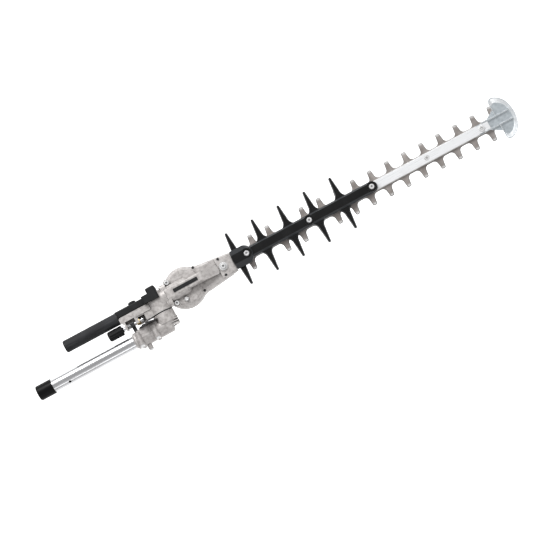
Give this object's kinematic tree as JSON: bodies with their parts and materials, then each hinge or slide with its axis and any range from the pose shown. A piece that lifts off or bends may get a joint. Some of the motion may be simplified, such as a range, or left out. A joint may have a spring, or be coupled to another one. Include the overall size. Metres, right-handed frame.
{
  "type": "pole hedge trimmer attachment",
  "caption": "Articulating hedge trimmer head on a short pole stub, with a tilt latch, side grip, double sided reciprocating blades, tooth guard and tip shoe.",
  "frame": {"origin": "centre of the open end of the pole tube", "axes": "+X along the pole from its open end to the blade tips, +Z normal to the blades on the gear case side, +Y to the grip and blade side, across which the tilt axis runs"},
  "size_m": [0.9927, 0.1264, 0.0923],
  "materials": {
    "polished_tube": "bright drawn tube, semi polished",
    "nylon": "natural nylon",
    "cap_plastic": "soft black plastic",
    "cast_aluminium": "bead blasted die casting",
    "screw_steel": "zinc plated steel",
    "black_steel": "black oxide steel",
    "bearing_steel": "ground bearing steel",
    "seal_rubber": "oil seal rubber",
    "shaft_steel": "ground shaft steel",
    "gear_steel": "hardened gear steel, oiled",
    "spring_steel": "spring wire",
    "black_paint": "satin black coated casting",
    "grip_rubber": "matt rubber sleeve",
    "knob_plastic": "satin black moulding",
    "latch_brass": "turned brass",
    "plate_black": "plain black plate",
    "bar_aluminium": "bright anodised extrusion",
    "strip_steel": "rolled steel strip",
    "blade_steel": "hardened blade steel with ground edges",
    "guard_plastic": "black glass filled nylon",
    "shoe_zinc": "pressed zinc plated sheet"
  },
  "bodies": {
    "pole": {"pole_tube": "polished_tube", "shaft_bushes": "nylon", "pole_case_left": "cast_aluminium", "pole_case_right": "cast_aluminium", "pole_case_screws": "screw_steel", "tube_locating_screw": "screw_steel", "index_sector": "black_steel", "sector_screws": "screw_steel", "input_bearing": "bearing_steel", "pivot_bearings": "bearing_steel", "pivot_retaining_ring": "bearing_steel", "pivot_seal": "seal_rubber"},
    "cap": {"end_cap": "cap_plastic"},
    "drive": {"drive_shaft": "shaft_steel", "input_pinion": "gear_steel"},
    "pivot_train": {"pivot_shaft": "shaft_steel", "pivot_gear_pole": "gear_steel", "pivot_gear_head": "gear_steel"},
    "head": {"hub_case": "cast_aluminium", "head_case_upper": "cast_aluminium", "head_case_lower": "cast_aluminium", "hub_bolts": "screw_steel", "head_case_screws": "screw_steel", "rear_case_bolts": "screw_steel", "clamp_bolt": "screw_steel", "clamp_washer": "screw_steel", "name_plate": "plate_black", "grease_nipple": "screw_steel", "handle_bracket": "black_paint", "handle_bolts": "screw_steel", "handle_grip": "grip_rubber", "latch_bush": "latch_brass", "lay_bearing": "bearing_steel", "crank_bearings": "bearing_steel", "guide_bar": "bar_aluminium", "backing_strip": "strip_steel", "bolt_sleeves": "screw_steel", "bar_nuts": "screw_steel", "tooth_guard": "guard_plastic", "blade_bolts": "screw_steel", "bar_screws": "screw_steel", "tip_shoe": "shoe_zinc"},
    "lay_train": {"lay_shaft": "shaft_steel", "lay_gear": "gear_steel", "lay_pinion": "gear_steel"},
    "crank": {"crank_gear": "gear_steel"},
    "rod_upper": {"connecting_rod_upper": "gear_steel"},
    "rod_lower": {"connecting_rod_lower": "gear_steel"},
    "upper_blade": {"blade_upper": "blade_steel"},
    "lower_blade": {"blade_lower": "blade_steel"},
    "latch": {"latch_knob": "knob_plastic", "latch_rod": "shaft_steel", "latch_pawl": "black_steel", "latch_clip": "bearing_steel", "latch_spring": "spring_steel"}
  },
  "joints": [
    {"name": "cap_pull", "type": "slide", "parent": "pole", "child": "cap", "axis": [-1, 0, 0], "range_m": [0, 0.12]},
    {"name": "drive_spin", "type": "hinge", "parent": "pole", "child": "drive", "pos_m": [0.1, 0, 0], "axis": [1, 0, 0], "continuous": true},
    {"name": "pivot_train_spin", "type": "hinge", "parent": "pole", "child": "pivot_train", "pos_m": [0.2614, 0.02, 0], "axis": [0, 1, 0], "continuous": true},
    {"name": "head_tilt", "type": "hinge", "parent": "pole", "child": "head", "pos_m": [0.2614, 0.03, 0], "axis": [0, 1, 0], "range_deg": [-90, 45]},
    {"name": "lay_spin", "type": "hinge", "parent": "head", "child": "lay_train", "pos_m": [0.28, 0.047, 0], "axis": [1, 0, 0], "continuous": true},
    {"name": "crank_spin", "type": "hinge", "parent": "head", "child": "crank", "pos_m": [0.317, 0.047, -0.01], "axis": [0, 0, 1], "continuous": true},
    {"name": "rod_upper_swing", "type": "hinge", "parent": "crank", "child": "rod_upper", "pos_m": [0.30825, 0.047, -0.0165], "axis": [0, 0, 1], "continuous": true},
    {"name": "rod_lower_swing", "type": "hinge", "parent": "crank", "child": "rod_lower", "pos_m": [0.32575, 0.047, -0.026], "axis": [0, 0, 1], "continuous": true},
    {"name": "blade_upper_slide", "type": "slide", "parent": "head", "child": "upper_blade", "axis": [1, 0, 0], "range_m": [0, 0.0175]},
    {"name": "blade_lower_slide", "type": "slide", "parent": "head", "child": "lower_blade", "axis": [1, 0, 0], "range_m": [-0.0175, 0]},
    {"name": "latch_pull", "type": "slide", "parent": "head", "child": "latch", "axis": [1, 0, 0], "range_m": [-0.002, 0.0042], "stiffness_N_per_m": 400, "springref_m": 0.008, "deforming": ["latch_spring"]}
  ],
  "couplings": [
    {"joint": "pivot_train_spin", "follows": "drive_spin", "ratio": 1},
    {"joint": "lay_spin", "follows": "drive_spin", "ratio": 1},
    {"joint": "crank_spin", "follows": "drive_spin", "ratio": -0.33333},
    {"joint": "rod_upper_swing", "follows": "drive_spin", "ratio": 0.33333},
    {"joint": "rod_lower_swing", "follows": "drive_spin", "ratio": 0.33333},
    {"joint": "blade_lower_slide", "follows": "blade_upper_slide", "ratio": -1}
  ]
}
